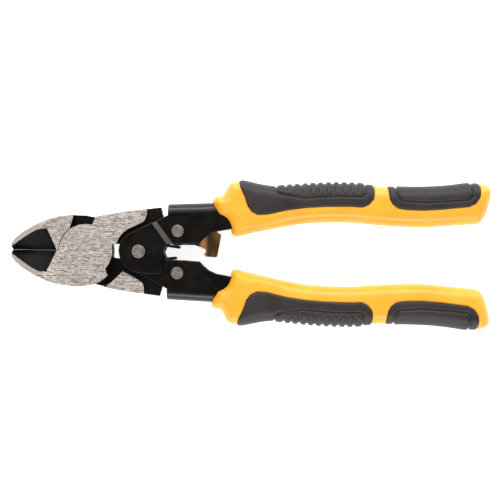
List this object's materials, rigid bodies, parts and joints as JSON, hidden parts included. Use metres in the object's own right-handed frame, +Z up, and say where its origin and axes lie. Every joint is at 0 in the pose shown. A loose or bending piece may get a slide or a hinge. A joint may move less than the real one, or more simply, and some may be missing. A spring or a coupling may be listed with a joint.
{
  "type": "compound-action cutting pliers",
  "caption": "Compound-action diagonal cutting pliers: forged jaws driven by crossing channel handles with two-colour grips, opening spring and lock latch.",
  "frame": {"origin": "middle of the tool's outer box, on the flat underside of the grips", "axes": "+X from the jaws to the grip ends, +Y to the upper handle, +Z up out of the flat side"},
  "size_m": [0.2146, 0.065, 0.018],
  "materials": {
    "ground_steel": "forged steel, ground flat with a lengthwise grain",
    "dark_steel": "dark oiled steel",
    "black_oxide_steel": "black oxide on pressed steel, satin",
    "rivet_steel": "peened rivet steel",
    "spring_wire": "black oiled spring wire",
    "bronze_plated_steel": "yellow-bronze plated pressed steel",
    "yellow_grip": "hard yellow-orange moulded plastic",
    "grey_pad": "soft dark warm-grey elastomer"
  },
  "bodies": {
    "upper_jaw": {"upper_jaw": "ground_steel"},
    "lower_jaw": {"lower_jaw": "ground_steel", "jaw_pivot_pin": "dark_steel"},
    "upper_handle": {"upper_handle_frame": "black_oxide_steel", "main_pivot_rivet": "rivet_steel", "pivot_spacer_bush": "dark_steel", "opening_spring": "spring_wire", "upper_link_rivet": "rivet_steel", "upper_grip_body": "yellow_grip", "upper_front_pad": "grey_pad", "upper_rear_pad": "grey_pad"},
    "lower_handle": {"lower_handle_frame": "black_oxide_steel", "lower_link_rivet": "rivet_steel", "front_link_washer": "dark_steel", "back_link_washer": "dark_steel", "latch_catch_pin": "dark_steel", "lower_grip_body": "yellow_grip", "lower_front_pad": "grey_pad", "lower_rear_pad": "grey_pad"},
    "latch": {"lock_latch": "bronze_plated_steel"}
  },
  "joints": [
    {"name": "jaw_opening", "type": "hinge", "parent": "upper_jaw", "child": "lower_jaw", "pos_m": [-0.0742, 0, 0.009], "axis": [0, 0, 1], "range_deg": [0, 14]},
    {"name": "upper_handle_swing", "type": "hinge", "parent": "lower_jaw", "child": "upper_handle", "pos_m": [-0.0333, 0.0094, 0.009], "axis": [0, 0, 1], "range_deg": [0, 10.92]},
    {"name": "lower_handle_swing", "type": "hinge", "parent": "upper_jaw", "child": "lower_handle", "pos_m": [-0.0333, -0.0094, 0.009], "axis": [0, 0, 1], "range_deg": [-10.92, 0]},
    {"name": "latch_swing", "type": "hinge", "parent": "upper_handle", "child": "latch", "pos_m": [-0.0333, 0.0094, 0.009], "axis": [0, 0, 1], "range_deg": [-38, 0]}
  ],
  "couplings": [
    {"joint": "upper_handle_swing", "follows": "jaw_opening", "ratio": 0.78},
    {"joint": "lower_handle_swing", "follows": "jaw_opening", "ratio": -0.78}
  ]
}
